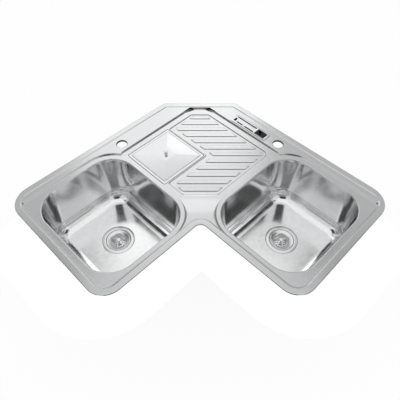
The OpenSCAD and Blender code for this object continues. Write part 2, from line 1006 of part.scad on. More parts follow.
module lid_knob() {
    color(bright_steel) at_seat() translate([0, 0, lid_flat_z]) difference() {
        rotate_extrude() polygon([
            [0, 0],
            [knob_d / 2, 0],
            [knob_d / 2, knob_foot_h],
            [knob_neck_d / 2, knob_neck_h],
            [knob_d / 2, knob_h - knob_neck_h],
            [knob_d / 2, knob_h - knob_foot_h],
            [knob_neck_d / 2, knob_h],
            [0, knob_h]
        ]);
        translate([0, 0, -over])
            cylinder(h = lid_screw_grip + 2 * over, d = lid_screw_d + 2 * thread_gap);
    }
}

module lid_screw() {
    color(bright_steel) at_seat() translate([0, 0, lid_flat_z - lid_t]) {
        translate([0, 0, -lid_screw_head_t]) cylinder(h = lid_screw_head_t, d = lid_screw_head_d);
        cylinder(h = lid_t + lid_screw_grip, d = lid_screw_d);
    }
}

// Knife rack: plate, box for the blades, and comb
rack_top = ledge_top + rest_gap + rack_t;
rack_box_l = rack_l - 2 * (rack_rest_w + rack_box_gap);
rack_box_w = rack_w - 2 * (rack_rest_w + rack_box_gap);

module slot_area(l, w) {
    hull() {
        translate([-(l - w) / 2, 0]) circle(d = w);
        translate([(l - w) / 2, 0]) circle(d = w);
    }
}

module rack_plate() {
    color(bright_steel) at_rack() between(rack_top - rack_t, rack_top) difference() {
        box_area(rack_l, rack_w, rack_corner_r);
        translate([long_slot_x, long_slot_y]) slot_area(long_slot_l, slot_w);
        translate([short_slot_x, short_slot_y]) slot_area(short_slot_l, slot_w);
        translate([middle_slot_x, short_slot_y]) slot_area(middle_slot_l, slot_w);
        translate([finger_x, finger_y]) rotate(90) slot_area(finger_l, finger_w);
        translate([comb_x, comb_y]) square([comb_l + 2 * comb_gap, comb_w + 2 * comb_gap], center = true);
    }
}

module rack_box() {
    bottom = rack_top - rack_t - rack_depth;
    inner_l = rack_box_l - 2 * rack_box_wall;
    inner_w = rack_box_w - 2 * rack_box_wall;
    color(black_plastic) at_rack() difference() {
        between(bottom, rack_top - rack_t) box_area(rack_box_l, rack_box_w, rack_box_r);
        between(bottom + rack_box_wall, rack_top) box_area(inner_l, inner_w, rack_box_r - rack_box_wall);
    }
}

module rack_comb() {
    pitch = (comb_l - comb_edge * 2) / comb_slits;
    color(black_plastic) at_rack() translate([comb_x, comb_y, 0]) between(rack_top - comb_depth, rack_top)
        difference() {
            square([comb_l, comb_w], center = true);
            for (i = [0:comb_slits - 1])
                translate([(i - (comb_slits - 1) / 2) * pitch, 0])
                    square([comb_slit, comb_w - 2 * comb_edge], center = true);
        }
}

// What is drawn
sink_top();
left_bowl();
right_bowl();
rim_seal();
tap_backing_plates();
clip_nut_blocks();
clip_claws();
clip_screws();
left_sound_pad();
right_sound_pad();
left_strainer_cup();
left_flange_gasket();
left_washer();
left_friction_ring();
left_lock_nut();
left_tail_gasket();
left_tailpiece();
left_union_nut();
right_strainer_cup();
right_flange_gasket();
right_washer();
right_friction_ring();
right_lock_nut();
right_tail_gasket();
right_tailpiece();
right_union_nut();
left_basket();
left_basket_post();
left_stopper();
right_basket();
right_basket_post();
right_stopper();
waste_bin();
bin_lid();
lid_knob();
lid_screw();
rack_plate();
rack_box();
rack_comb();
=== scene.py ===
import math

import bpy
import bmesh
from bpy.props import FloatProperty, FloatVectorProperty, PointerProperty
from mathutils import Matrix, Vector


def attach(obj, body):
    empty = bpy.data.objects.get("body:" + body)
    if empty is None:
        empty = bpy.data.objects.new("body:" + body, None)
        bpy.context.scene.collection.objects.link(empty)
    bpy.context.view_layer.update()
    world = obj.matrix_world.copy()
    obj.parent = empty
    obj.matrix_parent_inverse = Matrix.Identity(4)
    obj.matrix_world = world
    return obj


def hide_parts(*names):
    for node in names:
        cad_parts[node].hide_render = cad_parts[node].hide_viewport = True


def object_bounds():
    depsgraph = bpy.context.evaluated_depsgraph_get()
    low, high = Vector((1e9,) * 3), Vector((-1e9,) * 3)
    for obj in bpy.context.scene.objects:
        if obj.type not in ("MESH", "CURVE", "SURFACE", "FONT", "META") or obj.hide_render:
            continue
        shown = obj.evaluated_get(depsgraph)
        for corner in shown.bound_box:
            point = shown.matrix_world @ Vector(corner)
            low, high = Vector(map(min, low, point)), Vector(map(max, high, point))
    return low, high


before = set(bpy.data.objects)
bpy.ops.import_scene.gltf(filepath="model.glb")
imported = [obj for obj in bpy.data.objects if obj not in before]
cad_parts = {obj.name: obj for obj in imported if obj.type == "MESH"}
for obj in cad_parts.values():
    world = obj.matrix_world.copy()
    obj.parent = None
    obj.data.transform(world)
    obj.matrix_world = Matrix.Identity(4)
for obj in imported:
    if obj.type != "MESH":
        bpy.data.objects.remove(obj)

bl_info = {
    "name": "Corner Kitchen Sink",
    "version": (1, 0, 0),
    "blender": (4, 5, 0),
    "location": "View3D > Sidebar > Sink",
    "description": "Dresses a corner kitchen sink with pressed steel, basins, strainers, bin lid and knife rack",
    "category": "Object",
}

CAD_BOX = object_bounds()
MM = 0.001
ROOT2 = math.sqrt(2)
MERGE_DISTANCE = 0.00001
SIDES = ("left", "right")

# Plan of the sink in the corner frame, in millimetres: X along the left wall, Y along the right wall
ARM = 830.0
DEPTH = 470.0
CORNER_CUT = 185.0
SEAL_INSET = 4.0
SEAL_WIDTH = 10.0
CORNER_DISTANCE = CORNER_CUT / ROOT2 + SEAL_INSET + SEAL_WIDTH / 2
DECK_BACK = 86.0

# Left bowl, whose mirror image is the right one, and the middle of its drain
BOWL_CENTRE = (626, 246)
BOWL_LENGTH = 320
BOWL_WIDTH = 370
BOWL_RADIUS = 88
BOWL_STEPS = 18
DRAIN = (621.0, 234.0)

# Seat of the bin, left tap hole, and the knife rack's opening
SEAT_CENTRE = (356.0, 196.5)
SEAT_SIZE = 181
TAP_HOLE = (429, 55)
TAP_RADIUS = 18.5
RACK_CENTRE = (59.5, 310)
RACK_WIDTH = 34.5
RACK_LENGTH = 147.5

# Levels above the worktop
RIM = 4.0
LEDGE = 2.1
DECK = -3.0
TRAY = -5.5
RIB_TOP = -3.5
SEAT = -7.0
FLOOR = -186.0

# Edges of the pressed sheet: distance from their outline, and height
RIM_PROFILE = [(0.4, 0.3), (0.0, 0.7), (0.0, 3.0), (0.2, 3.6), (0.7, 3.9), (1.6, RIM), (10.0, RIM), (17.4, RIM),
               (18.6, 3.85), (19.4, 3.45), (20.6, 2.6), (21.4, 2.22), (22.4, LEDGE)]
SEAT_PROFILE = [(0.9, DECK), (0.4, -3.2), (0.0, -3.8), (0.0, -6.6), (-0.4, SEAT), (-8.0, SEAT), (-8.7, -7.4),
                (-9.0, -9.0)]
LIP_PROFILE = [(4.4, DECK), (2.9, -3.02), (1.6, -3.25), (0.7, -3.9), (0.2, -4.8), (0.0, -6.0), (0.0, -7.2)]
TAP_PROFILE = [(1.0, 2.5), (0.5, 2.38), (0.1, 2.0), (0.0, 1.2), (0.0, 0.2)]
RACK_PROFILE = [(0.5, 2.5), (0.0, 2.2), (0.0, 1.0)]

# Steps between two levels: distance outwards from their middle, and share of their height
DECK_STEP = [(3.6, 1.0), (2.8, 0.98), (2.0, 0.9), (0.0, 0.5), (-2.0, 0.1), (-2.8, 0.02), (-3.6, 0.0)]
TRAY_STEP = [(1.6, 1.0), (1.1, 0.94), (0.5, 0.7), (-0.5, 0.3), (-1.1, 0.06), (-1.6, 0.0)]
RIB_STEP = [(1.3, 0.0), (0.8, 0.08), (0.15, 0.43), (-0.5, 0.82), (-1.1, 0.97), (-1.8, 1.0)]

# Sum of x and y along the tray's back edge, and distance of its front edge from the back corner. The front edge
# slopes more gently than the sides: how far out it stands at each distance of TRAY_STEP
TRAY_BACK = 264
TRAY_FRONT = 555.5
TRAY_FRONT_SHIFT = {1.6: 7, 1.1: 5, 0.5: 2, -0.5: -2, -1.1: -5, -1.6: -7}

# Sides of an outline longer than this are cut into parts
LONGEST_SIDE = 40.0

# Ribs of the drainer: where they end at the front, middle of the first one in pitches, and radius and steps of corners
RIB_COUNT = 12
RIB_WIDTH = 16.0
RIBS_FRONT = 552.2
RIB_START = 0.44
RIB_CORNER = (2.4, 3)

# Angles in degrees up to which the edges of a piece are shaded smooth
SMOOTH_TURNED = 30
SMOOTH_ROUNDED = 40
SMOOTH_FOLDED = 3


# Plan outlines

def place(x, y, z=0.0):
    """A point of the corner frame, in millimetres, as a point of the row frame in metres."""
    return Vector(((y - x) / ROOT2 * MM, (CORNER_DISTANCE - (x + y) / ROOT2) * MM, z * MM))


def fillet(before, corner, after, radius, steps):
    """Points of an arc that rounds a corner of an outline."""
    corner = Vector(corner)
    to_a = (Vector(before) - corner).normalized()
    to_b = (Vector(after) - corner).normalized()
    half = to_a.angle(to_b) / 2
    centre = corner + (to_a + to_b).normalized() * radius / math.sin(half)
    first = corner + to_a * radius / math.tan(half) - centre
    last = corner + to_b * radius / math.tan(half) - centre
    start = math.atan2(first.y, first.x)
    turn = (math.atan2(last.y, last.x) - start + 3 * math.pi) % (2 * math.pi) - math.pi
    return [tuple(centre + radius * Vector((math.cos(start + turn * i / steps), math.sin(start + turn * i / steps))))
            for i in range(steps + 1)]


def outline(corners):
    """Closed outline through corners (x, y, radius, steps); a corner of no steps stays a point."""
    points = []
    for i, (x, y, radius, steps) in enumerate(corners):
        if steps:
            before, after = corners[i - 1][:2], corners[(i + 1) % len(corners)][:2]
            points += fillet(before, (x, y), after, radius, steps)
        else:
            points.append((x, y))
    return points


def across(points):
    """The mirror image of points or corners across the diagonal, in the order that keeps an outline's sense."""
    return [(p[1], p[0]) + tuple(p[2:]) for p in reversed(points)]


def arc(cx, cy, radius, start, end, steps, end_radius=None):
    """Corners of no radius along an arc in degrees, which may widen evenly to another radius."""
    growth = 0 if end_radius is None else end_radius - radius
    corners = []
    for k in range(steps + 1):
        angle = math.radians(start + (end - start) * k / steps)
        reach = radius + growth * k / steps
        corners.append((cx + reach * math.cos(angle), cy + reach * math.sin(angle), 0, 0))
    return corners


def rim_outline(d):
    """Outline of the rim at a distance inwards of its outer edge."""
    half = [(CORNER_CUT + d * (ROOT2 - 1), d, max(25 - d, 6), 8), (ARM - d, d, 70.8 - 1.44 * d, 20),
            (ARM - d, DEPTH - d, 60 - d, 20)]
    return outline(half + [(DEPTH - d, DEPTH - d, max(22 + d, 1), 16)] + across(half))


def deck_outline(o):
    """Outline of the sunk deck; its arcs end one after the other on the bridge, which makes the bridge's rise."""
    behind_tap = [(CORNER_CUT + (22.5 - o) * ROOT2 - (DECK_BACK - o), DECK_BACK - o, 2, 2),
                  (452, DECK_BACK - o, 3, 4)]
    behind_bowl = arc(554, 152, 111 + o, 214, 270, 14)
    arm_end = [(807.5 + o, 41 - o, 14 + o, 8), (807.5 + o, 447.5 + o, 37.5 + o, 14)]
    beside_bridge = arc(554, 340.5, 107 + o, 90, 152 - 6 * o, 16, 107 + (o if o < 0 else 2.1 * o))
    half = behind_tap + behind_bowl + arm_end + beside_bridge
    return outline(half + across(half))


def tray_outline(o):
    front = (TRAY_FRONT + TRAY_FRONT_SHIFT[o]) * ROOT2
    lo, hi, back = 110 - o, 432 + o, TRAY_BACK - o * ROOT2
    seat_x, seat_y = 261.5 + o, 291 - o
    return outline([
        (back - lo, lo, 6, 4), (seat_x, lo, 5, 4), (seat_x, seat_y, 6, 4), (hi, seat_y, 4, 4),
        (hi, front - hi, 10, 5), (front - hi, hi, 10, 5), (lo, hi, 20, 8), (lo, back - lo, 6, 4)])


def box_outline(cx, cy, length, width, radius, steps):
    a, b = length / 2, width / 2
    return outline([(cx - a, cy - b, radius, steps), (cx + a, cy - b, radius, steps),
                    (cx + a, cy + b, radius, steps), (cx - a, cy + b, radius, steps)])


def bowl_outline(outwards, radius, mirrored):
    points = box_outline(*BOWL_CENTRE, BOWL_LENGTH + 2 * outwards, BOWL_WIDTH + 2 * outwards, radius, BOWL_STEPS)
    return across(points) if mirrored else points


def circle_outline(cx, cy, radius, steps=48):
    return [(cx + radius * math.cos(2 * math.pi * i / steps), cy + radius * math.sin(2 * math.pi * i / steps))
            for i in range(steps)]


def rib_outlines():
    """Outline of each rib as a function of the distance outwards."""
    back = TRAY_BACK / ROOT2
    pitch = (RIBS_FRONT - back) / RIB_COUNT

    def right_end(d):
        return min(d - 120 * ROOT2, 422 * ROOT2 - d)

    def left_end(d):
        return max(-right_end(d), min(d - 245 * ROOT2, 309 * ROOT2 - d))

    def corner(d, s):
        return ((d - s) / ROOT2, (d + s) / ROOT2)

    shapes = []
    for i in range(RIB_COUNT):
        middle = back + (i + RIB_START) * pitch

        def shape(o, middle=middle):
            d0, d1 = middle - RIB_WIDTH / 2 - o, middle + RIB_WIDTH / 2 + o
            ends = [(d0, right_end(d0) + o * ROOT2), (d1, right_end(d1) + o * ROOT2),
                    (d1, left_end(d1) - o * ROOT2), (d0, left_end(d0) - o * ROOT2)]
            return outline([corner(d, s) + RIB_CORNER for d, s in ends])

        shapes.append(shape)
    return shapes


def side_points(points, i, parts):
    """Point i of an outline and the points that cut the side after it into equal parts."""
    p, q = points[i], points[(i + 1) % len(points)]
    return [(p[0] + (q[0] - p[0]) * k / parts, p[1] + (q[1] - p[1]) * k / parts) for k in range(parts)]


def side_counts(points):
    """How many parts each side of an outline is cut into."""
    after = points[1:] + points[:1]
    return [int(math.hypot(q[0] - p[0], q[1] - p[1]) // LONGEST_SIDE) + 1 for p, q in zip(points, after)]


def cut_sides(points, counts):
    return [point for i, parts in enumerate(counts) for point in side_points(points, i, parts)]


def between_levels(profile, low, high):
    """A profile of (distance, share of a step) as a profile of (distance, height)."""
    return [(o, low + (high - low) * share) for o, share in profile]


# Modelling

def clean_start():
    if bpy.context.mode != "OBJECT":
        bpy.ops.object.mode_set(mode="OBJECT")
    bpy.ops.object.select_all(action="DESELECT")


def activate(*objs):
    clean_start()
    for obj in objs:
        obj.select_set(True)
    bpy.context.view_layer.objects.active = objs[0]


def vertex_mode(action):
    """Opens the active mesh for editing by vertices, with all or none of them selected."""
    bpy.ops.object.mode_set(mode="EDIT")
    bpy.ops.mesh.select_mode(type="VERT")
    bpy.ops.mesh.select_all(action=action)


def loops_piece(name, loops, groups=None):
    """A strip through closed loops of equal length, made by extruding the first loop's edges loop by loop.

    A vertex group is kept for each loop that groups names by its number.
    """
    clean_start()
    count = len(loops[0])
    bpy.ops.mesh.primitive_circle_add(vertices=count, radius=1, fill_type="NOTHING")
    obj = bpy.context.object
    obj.name = obj.data.name = name
    for v, p in zip(obj.data.vertices, loops[0]):
        v.co = p
    for step, loop in enumerate(loops[1:], 1):
        bpy.ops.object.mode_set(mode="EDIT")
        bpy.ops.mesh.select_mode(type="VERT")
        if step == 1:
            bpy.ops.mesh.select_all(action="SELECT")
        bpy.ops.mesh.extrude_edges_move()
        bpy.ops.object.mode_set(mode="OBJECT")
        for i, p in enumerate(loop):
            obj.data.vertices[step * count + i].co = p
    for group, which in (groups or {}).items():
        first = which % len(loops) * count
        obj.vertex_groups.new(name=group).add(list(range(first, first + count)), 1.0, "REPLACE")
    return obj


def step_strip(name, shape, profile, groups):
    """A strip round an outline, through the distances and heights of a profile."""
    # Every loop gets as many points, because the counts come from the first one
    counts = side_counts(shape(profile[0][0]))
    loops = [[place(x, y, z) for x, y in cut_sides(shape(o), counts)] for o, z in profile]
    return loops_piece(name, loops, groups)


def join(name, objs):
    activate(*objs)
    bpy.ops.object.join()
    obj = bpy.context.object
    obj.name = obj.data.name = name
    return obj


def fill_groups(obj, groups):
    """Fills the flat area between the loops of each vertex group."""
    activate(obj)
    for group in groups:
        vertex_mode("DESELECT")
        obj.vertex_groups.active_index = obj.vertex_groups[group].index
        bpy.ops.object.vertex_group_select()
        bpy.ops.mesh.fill(use_beauty=True)
        bpy.ops.object.mode_set(mode="OBJECT")


def merge_and_turn_out():
    """Merges doubles in the open mesh and makes its normals agree, outwards."""
    bpy.ops.mesh.select_all(action="SELECT")
    bpy.ops.mesh.remove_doubles(threshold=MERGE_DISTANCE)
    bpy.ops.mesh.normals_make_consistent(inside=False)
    bpy.ops.object.mode_set(mode="OBJECT")


def face_up(obj):
    """Turns an open sheet's faces so that its flat parts look up."""
    activate(obj)
    bpy.ops.object.mode_set(mode="EDIT")
    merge_and_turn_out()
    if sum(p.normal.z * p.area for p in obj.data.polygons) < 0:
        bpy.ops.object.mode_set(mode="EDIT")
        bpy.ops.mesh.select_all(action="SELECT")
        bpy.ops.mesh.flip_normals()
        bpy.ops.object.mode_set(mode="OBJECT")


def turned(name, profile, centre, steps=64, closed=True):
    """A round piece: a profile of (radius, height) points in millimetres, spun about an upright axis."""
    clean_start()
    bpy.ops.mesh.primitive_circle_add(vertices=len(profile), radius=1, fill_type="NOTHING")
    obj = bpy.context.object
    obj.name = obj.data.name = name
    for v, (r, z) in zip(obj.data.vertices, profile):
        v.co = Vector((centre.x + r * MM, centre.y, z * MM))
    bpy.ops.object.mode_set(mode="EDIT")
    if not closed:
        bpy.ops.mesh.select_mode(type="EDGE")
        bpy.ops.mesh.select_all(action="DESELECT")
        mesh = bmesh.from_edit_mesh(obj.data)
        mesh.verts.ensure_lookup_table()
        ends = {mesh.verts[0], mesh.verts[len(profile) - 1]}
        for edge in mesh.edges:
            edge.select = set(edge.verts) == ends
        bmesh.update_edit_mesh(obj.data)
        bpy.ops.mesh.delete(type="EDGE")
        bpy.ops.mesh.select_mode(type="VERT")
    bpy.ops.mesh.select_all(action="SELECT")
    bpy.ops.mesh.spin(steps=steps, angle=2 * math.pi, center=(centre.x, centre.y, 0), axis=(0, 0, 1))
    merge_and_turn_out()
    return obj


def add_modifier(obj, kind, **values):
    activate(obj)
    bpy.ops.object.modifier_add(type=kind)
    mod = obj.modifiers[-1]
    for key, value in values.items():
        setattr(mod, key, value)
    return mod


def apply_modifier(obj, kind, **values):
    mod = add_modifier(obj, kind, **values)
    bpy.ops.object.modifier_apply(modifier=mod.name)


def thicken(obj, thickness, **values):
    """Gives a sheet its thickness below or outside it."""
    apply_modifier(obj, "SOLIDIFY", thickness=thickness, offset=-1, **values)


def smooth(obj, degrees):
    activate(obj)
    bpy.ops.object.shade_smooth_by_angle(angle=math.radians(degrees))


def smooth_pressed(obj):
    """Shades a pressed sheet so that its flats stay flat up to their rounded edges."""
    smooth(obj, SMOOTH_ROUNDED)
    apply_modifier(obj, "WEIGHTED_NORMAL", mode="FACE_AREA", weight=100, keep_sharp=True)


def dress(obj, *materials):
    obj.data.materials.clear()
    for material in materials:
        obj.data.materials.append(material)


def finish_piece(obj, body, node):
    obj.vertex_groups.clear()
    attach(obj, body)
    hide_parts(node)


def drain_centre(side):
    p = place(*DRAIN)
    return Vector((p.x if side == "left" else -p.x, p.y, 0))


# Materials

# Colour sockets of a Mix node
MIX_A, MIX_B, MIX_RESULT = 6, 7, 2
BUMP_DEPTH = 0.0002
NOISE_LOW, NOISE_HIGH = 0.3, 0.7
EVEN = (1, 1, 1)
CLOUD_DETAIL = 3.0

# Steel: size of its clouds, how far grain and clouds change its roughness, and share of its darker tone
STEEL_CLOUDS = 9.0
STEEL_GRAIN_ROUGH = 0.03
STEEL_CLOUD_ROUGH = 0.02
STEEL_DARK = 0.93

# Plastic: sizes of its texture and clouds, how far its roughness changes, shares of its two tones, and bump
PLASTIC_GRAIN = 900.0
PLASTIC_CLOUDS = 14.0
PLASTIC_ROUGH = 0.05
PLASTIC_DARK, PLASTIC_LIGHT = 0.88, 1.06
PLASTIC_BUMP = 0.15


def new_material(name):
    mat = bpy.data.materials.new(name)
    mat.use_nodes = True
    nodes = mat.node_tree.nodes
    return mat, nodes, mat.node_tree.links, nodes["Principled BSDF"]


def mapped_noise(nodes, links, stretch, size, detail):
    """Noise over a piece's own coordinates, stretched along each axis."""
    coord = nodes.new("ShaderNodeTexCoord")
    mapping = nodes.new("ShaderNodeMapping")
    mapping.inputs["Scale"].default_value = stretch
    noise = nodes.new("ShaderNodeTexNoise")
    noise.inputs["Scale"].default_value = size
    noise.inputs["Detail"].default_value = detail
    links.new(coord.outputs["Object"], mapping.inputs["Vector"])
    links.new(mapping.outputs["Vector"], noise.inputs["Vector"])
    return noise.outputs["Fac"]


def ramp_between(nodes, links, noise, low, high):
    node = nodes.new("ShaderNodeMapRange")
    node.inputs["From Min"].default_value = NOISE_LOW
    node.inputs["From Max"].default_value = NOISE_HIGH
    node.inputs["To Min"].default_value = low
    node.inputs["To Max"].default_value = high
    links.new(noise, node.inputs["Value"])
    return node.outputs["Result"]


def tones(nodes, links, shader, noise, first, second):
    """Colours the surface between two tones."""
    mix = nodes.new("ShaderNodeMix")
    mix.data_type = "RGBA"
    mix.inputs[MIX_A].default_value = tuple(first) + (1.0,)
    mix.inputs[MIX_B].default_value = tuple(second) + (1.0,)
    links.new(ramp_between(nodes, links, noise, 0.0, 1.0), mix.inputs[0])
    links.new(mix.outputs[MIX_RESULT], shader.inputs["Base Color"])


def grain_bump(nodes, links, shader, noise, strength):
    rise = nodes.new("ShaderNodeBump")
    rise.inputs["Strength"].default_value = strength
    rise.inputs["Distance"].default_value = BUMP_DEPTH
    links.new(noise, rise.inputs["Height"])
    links.new(rise.outputs["Normal"], shader.inputs["Normal"])


def steel(name, color, rough, grain=(40, 900, 40), bump=0.08):
    """Stainless steel with a fine grain in one direction and faint clouds of polish."""
    mat, nodes, links, shader = new_material(name)
    shader.inputs["Metallic"].default_value = 1.0
    fine = mapped_noise(nodes, links, grain, size=1.0, detail=4.0)
    clouds = mapped_noise(nodes, links, EVEN, STEEL_CLOUDS, CLOUD_DETAIL)
    add = nodes.new("ShaderNodeMath")
    add.operation = "ADD"
    links.new(ramp_between(nodes, links, fine, rough - STEEL_GRAIN_ROUGH, rough + STEEL_GRAIN_ROUGH), add.inputs[0])
    links.new(ramp_between(nodes, links, clouds, -STEEL_CLOUD_ROUGH, STEEL_CLOUD_ROUGH), add.inputs[1])
    links.new(add.outputs["Value"], shader.inputs["Roughness"])
    tones(nodes, links, shader, fine, [c * STEEL_DARK for c in color], color)
    grain_bump(nodes, links, shader, fine, bump)
    return mat


def moulded(name, color, rough):
    """Moulded plastic or rubber with a fine texture and slight changes of tone."""
    mat, nodes, links, shader = new_material(name)
    fine = mapped_noise(nodes, links, EVEN, PLASTIC_GRAIN, detail=2.0)
    clouds = mapped_noise(nodes, links, EVEN, PLASTIC_CLOUDS, CLOUD_DETAIL)
    roughness = ramp_between(nodes, links, fine, rough - PLASTIC_ROUGH, rough + PLASTIC_ROUGH)
    links.new(roughness, shader.inputs["Roughness"])
    tones(nodes, links, shader, clouds, [c * PLASTIC_DARK for c in color],
          [min(c * PLASTIC_LIGHT, 1) for c in color])
    grain_bump(nodes, links, shader, fine, PLASTIC_BUMP)
    return mat


def glowing(name, level):
    """A grey that is the same in any light, for stage pieces."""
    mat, nodes, links, shader = new_material(name)
    nodes.remove(shader)
    glow = nodes.new("ShaderNodeEmission")
    glow.inputs["Color"].default_value = (level, level, level, 1)
    links.new(glow.outputs["Emission"], nodes["Material Output"].inputs["Surface"])
    return mat


# Settings

class SinkFinishes(bpy.types.PropertyGroup):
    sheet_color: FloatVectorProperty(
        name="Sheet", description="Colour of the pressed steel sheet", subtype="COLOR", size=3,
        default=(0.60, 0.605, 0.61), min=0, max=1)
    lid_color: FloatVectorProperty(
        name="Bin lid", description="Colour of the steel lid of the bin", subtype="COLOR", size=3,
        default=(0.62, 0.625, 0.63), min=0, max=1)
    basin_color: FloatVectorProperty(
        name="Basins", description="Colour of the drawn steel of the bowls", subtype="COLOR", size=3,
        default=(0.86, 0.865, 0.87), min=0, max=1)
    under_color: FloatVectorProperty(
        name="Underside", description="Colour of the unpolished steel outside the bowls", subtype="COLOR", size=3,
        default=(0.40, 0.405, 0.41), min=0, max=1)
    bright_color: FloatVectorProperty(
        name="Bright parts", description="Colour of the polished small parts", subtype="COLOR", size=3,
        default=(0.84, 0.845, 0.85), min=0, max=1)
    sheet_rough: FloatProperty(
        name="Sheet roughness", description="How matt the pressed sheet is", subtype="FACTOR",
        default=0.24, min=0, max=1)
    basin_rough: FloatProperty(
        name="Basin roughness", description="How matt the bowls are", subtype="FACTOR",
        default=0.15, min=0, max=1)
    under_rough: FloatProperty(
        name="Underside roughness", description="How matt the bowls are outside", subtype="FACTOR",
        default=0.45, min=0, max=1)


class SinkSizes(bpy.types.PropertyGroup):
    sheet_thickness: FloatProperty(
        name="Sheet", description="Thickness of the steel sheet", unit="LENGTH", default=0.001, min=0.0005, max=0.002)


class SinkStage(bpy.types.PropertyGroup):
    camera_place: FloatVectorProperty(
        name="Camera", description="Where the camera stands", subtype="TRANSLATION", size=3,
        default=(-0.0112, -1.2233, 1.0035))
    camera_yaw: FloatProperty(
        name="Yaw", description="Turn of the camera to the right", subtype="ANGLE", default=math.radians(0.72))
    camera_pitch: FloatProperty(
        name="Pitch", description="Tilt of the camera downwards", subtype="ANGLE", default=math.radians(52.07))
    camera_roll: FloatProperty(
        name="Roll", description="Roll of the camera", subtype="ANGLE", default=math.radians(0.54))
    lens: FloatProperty(
        name="Lens", description="Focal length on a 36 mm wide sensor", unit="CAMERA", default=37.674)
    floor_drop: FloatProperty(
        name="Floor", description="Distance of the floor below the sink", unit="LENGTH", default=0.004)


# Pieces

class SINK_OT_sheet(bpy.types.Operator):
    """Presses the sheet with its rim, ledges, deck, drainer and bin seat"""
    bl_idname = "sink.sheet"
    bl_label = "Pressed Sheet"

    def execute(self, context):
        def seat(o):
            return box_outline(*SEAT_CENTRE, SEAT_SIZE + 2 * o, SEAT_SIZE + 2 * o, 6 + max(o, -3), 4)

        def rack(o):
            return box_outline(*RACK_CENTRE, RACK_WIDTH + 2 * o, RACK_LENGTH + 2 * o, 4, 4)

        parts = [
            step_strip("rim", rim_outline, RIM_PROFILE, {"ledge": -1}),
            step_strip("deck step", deck_outline, between_levels(DECK_STEP, DECK, LEDGE), {"ledge": 0, "deck": -1}),
            step_strip("tray step", tray_outline, between_levels(TRAY_STEP, TRAY, DECK), {"deck": 0, "tray": -1}),
            step_strip("seat", seat, SEAT_PROFILE, {"deck": 0})]
        for mirrored in (False, True):
            parts.append(step_strip("mouth", lambda o: bowl_outline(o, BOWL_RADIUS + o, mirrored), LIP_PROFILE,
                                    {"deck": 0}))
        for hole in (TAP_HOLE, TAP_HOLE[::-1]):
            parts.append(step_strip("tap hole", lambda o: circle_outline(*hole, TAP_RADIUS + o), TAP_PROFILE,
                                    {"ledge": 0}))
        parts.append(step_strip("rack opening", rack, RACK_PROFILE, {"ledge": 0}))
        rib_profile = between_levels(RIB_STEP, TRAY, RIB_TOP)
        for shape in rib_outlines():
            parts.append(step_strip("rib", shape, rib_profile, {"tray": 0, "rib tops": -1}))
        sheet = join("sink_sheet", parts)
        fill_groups(sheet, ("ledge", "deck", "tray", "rib tops"))
        face_up(sheet)
        thicken(sheet, context.scene.sink_sizes.sheet_thickness)
        smooth_pressed(sheet)
        finishes = context.scene.sink_finishes
        dress(sheet, steel("satin sheet steel", finishes.sheet_color, finishes.sheet_rough, grain=(60, 1500, 1500),
                           bump=0.03))
        finish_piece(sheet, "sink", "sink_top")
        return {"FINISHED"}


class SINK_OT_basins(bpy.types.Operator):
    """Draws the two bowls with their rounded floors and drain seats"""
    bl_idname = "sink.basins"
    bl_label = "Basins"

    thickness = 0.0009
    # How far the wall leans in, radius of the bend to the floor, and corner radii at its top and bottom
    lean = 12.0
    bend = 40.0
    low_radius = 62.0
    floor_radius = 30.0
    wall_steps = 8
    bend_steps = 18
    side_parts = 7

    def profile(self):
        """Inset, height and corner radius of each loop, from the mouth down to the edge of the floor."""
        lean, low = self.lean, self.low_radius
        top = FLOOR + self.bend
        profile = [(-0.9, -4.15, BOWL_RADIUS), (0.1, -6.0, BOWL_RADIUS), (0.5, -12.0, BOWL_RADIUS - 0.2)]
        for k in range(1, self.wall_steps):
            share = k / self.wall_steps
            profile.append((lean * share, -4 + (top + 4) * share, BOWL_RADIUS + (low - BOWL_RADIUS) * share))
        profile += [(lean - 0.3, top + 2.2, low), (lean + 0.2, top + 1.1, low), (lean + 1.0, top + 0.5, low),
                    (lean + 0.9, top - 0.6, low)]
        for k in range(1, self.bend_steps + 1):
            a = math.pi / 2 * k / self.bend_steps
            inwards = 1 - math.cos(a)
            profile.append((lean + self.bend * inwards, top - self.bend * math.sin(a),
                            low + (self.floor_radius - low) * inwards))
        return profile

    def wall(self, mirrored):
        counts = [self.side_parts if k == BOWL_STEPS else 1 for k in range(BOWL_STEPS + 1)] * 4
        loops = [[place(x, y, z) for x, y in cut_sides(bowl_outline(-inset, radius, mirrored), counts)]
                 for inset, z, radius in self.profile()]
        return loops_piece("wall", loops, {"floor": -1})

    def drain_seat(self, centre):
        ring = [(55.2, FLOOR), (54.4, FLOOR - 0.15), (54.0, FLOOR - 0.8), (54.0, FLOOR - 2.8), (53.6, FLOOR - 3.0),
                (45.5, FLOOR - 3.0), (45.0, FLOOR - 4.0)]
        loops = [[place(x, y, z) for x, y in circle_outline(*centre, r, steps=72)] for r, z in ring]
        return loops_piece("seat", loops, {"floor": 0})

    def execute(self, context):
        finishes = context.scene.sink_finishes
        inside = steel("polished basin steel", finishes.basin_color, finishes.basin_rough, grain=(60, 60, 500),
                       bump=0.05)
        under = steel("unpolished basin steel", finishes.under_color, finishes.under_rough, grain=(60, 60, 500))
        for side in SIDES:
            mirrored = side == "right"
            basin = join(side + "_basin", [self.wall(mirrored), self.drain_seat(DRAIN[::-1] if mirrored else DRAIN)])
            fill_groups(basin, ("floor",))
            face_up(basin)
            dress(basin, inside, under)
            thicken(basin, self.thickness, material_offset=1)
            smooth_pressed(basin)
            finish_piece(basin, "sink", side + "_bowl")
        return {"FINISHED"}


